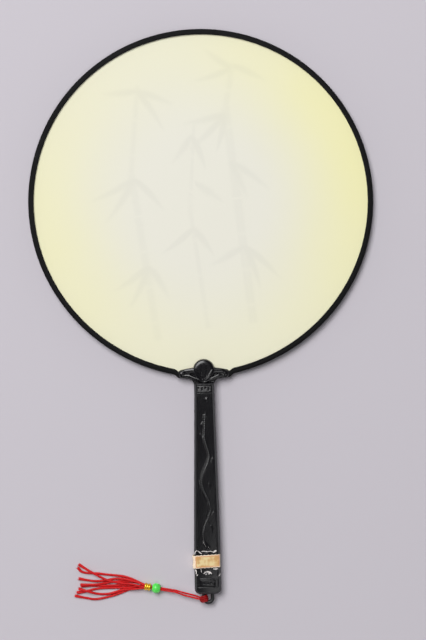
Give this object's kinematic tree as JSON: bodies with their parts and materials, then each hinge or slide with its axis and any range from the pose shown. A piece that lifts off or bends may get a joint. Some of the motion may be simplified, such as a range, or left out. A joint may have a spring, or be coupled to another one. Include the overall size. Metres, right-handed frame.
{
  "type": "round hand fan with tassel",
  "caption": "Round silk hand fan on a bound wire hoop, with a moulded black relief handle in two halves and a red cord tassel with a bead and a gold cap.",
  "frame": {"origin": "on the rest plane, under the middle of the fan's box from the far edge of the hoop to the round end of the hang loop, tassel left out", "axes": "+Y up the handle towards the leaf, +Z out of the front face, +X to the right seen from the front"},
  "size_m": [0.26, 0.4334, 0.0103],
  "materials": {
    "wire": "drawn",
    "silk": "plain weave, matt",
    "binding": "folded coated tape, satin",
    "handle": "moulded, satin",
    "loop": "moulded, satin",
    "paper": "cream with orange edges",
    "cord": "twisted, slight sheen",
    "green_bead": "glossy",
    "gold_cap": "metallised gold"
  },
  "bodies": {
    "fan": {"hoop_wire": "wire", "leaf_front": "silk", "leaf_back": "silk", "edge_binding": "binding", "handle_front": "handle", "handle_back": "handle", "hang_loop": "loop", "paper_band": "paper"},
    "hitch": {"cow_hitch": "cord"},
    "tassel": {"cord_leg_upper": "cord", "cord_leg_lower": "cord", "gold_cap": "gold_cap", "strand_1": "cord", "strand_2": "cord", "strand_3": "cord", "strand_4": "cord", "strand_5": "cord", "strand_6": "cord", "strand_7": "cord", "strand_8": "cord"},
    "bead": {"green_bead": "green_bead"}
  },
  "joints": [
    {"name": "hitch_travel", "type": "hinge", "parent": "fan", "child": "hitch", "pos_m": [0, -0.21205, 0.005], "axis": [0, 0, 1], "range_deg": [-2, 158]},
    {"name": "tassel_lift", "type": "hinge", "parent": "hitch", "child": "tassel", "pos_m": [-0.0032, -0.21261, 0.005], "axis": [0.1724, 0.985, 0], "range_deg": [-80, 80]},
    {"name": "bead_slide", "type": "slide", "parent": "tassel", "child": "bead", "axis": [0.9846, -0.1723, 0.0295], "range_m": [0, 0.011]}
  ]
}
